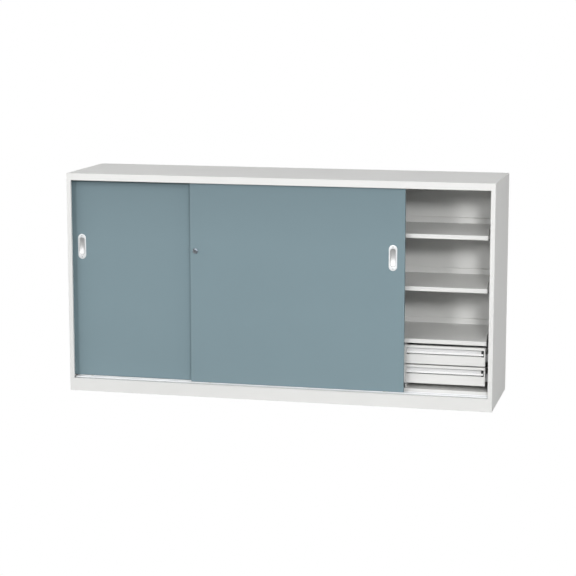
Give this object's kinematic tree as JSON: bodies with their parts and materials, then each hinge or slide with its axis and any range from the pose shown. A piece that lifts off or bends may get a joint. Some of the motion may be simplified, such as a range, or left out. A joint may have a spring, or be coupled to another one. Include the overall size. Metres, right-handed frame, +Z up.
{
  "type": "sliding door cabinet",
  "caption": "Free-standing steel cabinet with two sliding doors on tracks, flush pulls, a push lock, shelves in both bays and inner drawers on slides.",
  "frame": {"origin": "middle of the footprint, on the floor", "axes": "+X to the right along the width, the front faces -Y, +Z up"},
  "size_m": [2, 0.5, 1.03],
  "materials": {
    "carcass_paint": "satin powder coat, pale grey-white",
    "door_paint": "satin powder coat, grey-blue",
    "track_metal": "bright extruded rail",
    "zinc_steel": "zinc plated",
    "pull_metal": "bright satin plated",
    "screw_steel": "plated",
    "lock_chrome": "nickel plated",
    "lock_brass": "nickel plated brass",
    "grip_white": "white profile",
    "black_plastic": "black",
    "black_rubber": "black",
    "roller_plastic": "natural"
  },
  "bodies": {
    "carcass": {"bottom_track": "track_metal", "centre_partition": "carcass_paint", "door_buffers": "black_rubber", "drawer_housing": "carcass_paint", "drawer_slide_outers": "zinc_steel", "floor_panel": "carcass_paint", "foot_brackets": "zinc_steel", "front_plinth": "carcass_paint", "levelling_feet": "zinc_steel", "rear_panel_left": "carcass_paint", "rear_panel_right": "carcass_paint", "rear_plinth": "carcass_paint", "shelf_clips": "zinc_steel", "shelf_left_1": "carcass_paint", "shelf_left_2": "carcass_paint", "shelf_left_3": "carcass_paint", "shelf_right_1": "carcass_paint", "shelf_right_2": "carcass_paint", "shelf_right_3": "carcass_paint", "side_panel_left": "carcass_paint", "side_panel_right": "carcass_paint", "slotted_uprights": "carcass_paint", "top_guide": "zinc_steel", "top_panel": "carcass_paint"},
    "door_left": {"door_left_panel": "door_paint", "door_left_pull": "pull_metal", "door_left_pull_screws": "screw_steel", "door_left_roller_carriers": "zinc_steel", "door_left_stiffeners": "door_paint", "door_left_top_glides": "roller_plastic", "lock_strike": "zinc_steel"},
    "door_left_roller_1": {"door_left_roller_1": "roller_plastic"},
    "door_left_roller_2": {"door_left_roller_2": "roller_plastic"},
    "door_right": {"door_right_panel": "door_paint", "door_right_pull": "pull_metal", "door_right_pull_screws": "screw_steel", "door_right_roller_carriers": "zinc_steel", "door_right_stiffeners": "door_paint", "door_right_top_glides": "roller_plastic", "lock_housing": "lock_chrome", "lock_nut": "lock_chrome"},
    "door_right_roller_1": {"door_right_roller_1": "roller_plastic"},
    "door_right_roller_2": {"door_right_roller_2": "roller_plastic"},
    "lock_cylinder": {"lock_cylinder": "lock_chrome"},
    "lock_core": {"lock_core": "lock_brass"},
    "drawer_1": {"drawer_1_box": "carcass_paint", "drawer_1_front": "carcass_paint", "drawer_1_grip": "grip_white", "drawer_1_grip_cap": "black_plastic", "drawer_1_slide_inners": "zinc_steel"},
    "drawer_1_middle": {"drawer_1_slide_middles": "zinc_steel"},
    "drawer_2": {"drawer_2_box": "carcass_paint", "drawer_2_front": "carcass_paint", "drawer_2_grip": "grip_white", "drawer_2_grip_cap": "black_plastic", "drawer_2_slide_inners": "zinc_steel"},
    "drawer_2_middle": {"drawer_2_slide_middles": "zinc_steel"}
  },
  "joints": [
    {"name": "door_left_slide", "type": "slide", "parent": "carcass", "child": "door_left", "axis": [1, 0, 0], "range_m": [0, 0.968]},
    {"name": "door_right_slide", "type": "slide", "parent": "carcass", "child": "door_right", "axis": [1, 0, 0], "range_m": [-0.5775, 0.3905]},
    {"name": "door_left_roller_1_spin", "type": "hinge", "parent": "door_left", "child": "door_left_roller_1", "pos_m": [-0.9065, -0.196, 0.0763], "axis": [0, 1, 0], "range_deg": [-5, 5044]},
    {"name": "door_left_roller_2_spin", "type": "hinge", "parent": "door_left", "child": "door_left_roller_2", "pos_m": [-0.0725, -0.196, 0.0763], "axis": [0, 1, 0], "range_deg": [-5, 5044]},
    {"name": "door_right_roller_1_spin", "type": "hinge", "parent": "door_right", "child": "door_right_roller_1", "pos_m": [-0.318, -0.226, 0.0763], "axis": [0, 1, 0], "range_deg": [-3010, 2036]},
    {"name": "door_right_roller_2_spin", "type": "hinge", "parent": "door_right", "child": "door_right_roller_2", "pos_m": [0.505, -0.226, 0.0763], "axis": [0, 1, 0], "range_deg": [-3010, 2036]},
    {"name": "lock_push", "type": "slide", "parent": "door_right", "child": "lock_cylinder", "axis": [0, 1, 0], "range_m": [0, 0.007]},
    {"name": "lock_turn", "type": "hinge", "parent": "lock_cylinder", "child": "lock_core", "pos_m": [-0.383, -0.235, 0.6835], "axis": [0, 1, 0], "range_deg": [0, 90]},
    {"name": "drawer_1_slide", "type": "slide", "parent": "carcass", "child": "drawer_1", "axis": [0, 1, 0], "range_m": [-0.35, 0]},
    {"name": "drawer_1_middle_slide", "type": "slide", "parent": "carcass", "child": "drawer_1_middle", "axis": [0, 1, 0], "range_m": [-0.175, 0]},
    {"name": "drawer_2_slide", "type": "slide", "parent": "carcass", "child": "drawer_2", "axis": [0, 1, 0], "range_m": [-0.35, 0]},
    {"name": "drawer_2_middle_slide", "type": "slide", "parent": "carcass", "child": "drawer_2_middle", "axis": [0, 1, 0], "range_m": [-0.175, 0]}
  ],
  "couplings": [
    {"joint": "door_left_roller_1_spin", "follows": "door_left_slide", "rad_per_m": 90.909},
    {"joint": "door_left_roller_2_spin", "follows": "door_left_slide", "rad_per_m": 90.909},
    {"joint": "door_right_roller_1_spin", "follows": "door_right_slide", "rad_per_m": 90.909},
    {"joint": "door_right_roller_2_spin", "follows": "door_right_slide", "rad_per_m": 90.909},
    {"joint": "drawer_1_middle_slide", "follows": "drawer_1_slide", "ratio": 0.5},
    {"joint": "drawer_2_middle_slide", "follows": "drawer_2_slide", "ratio": 0.5}
  ]
}
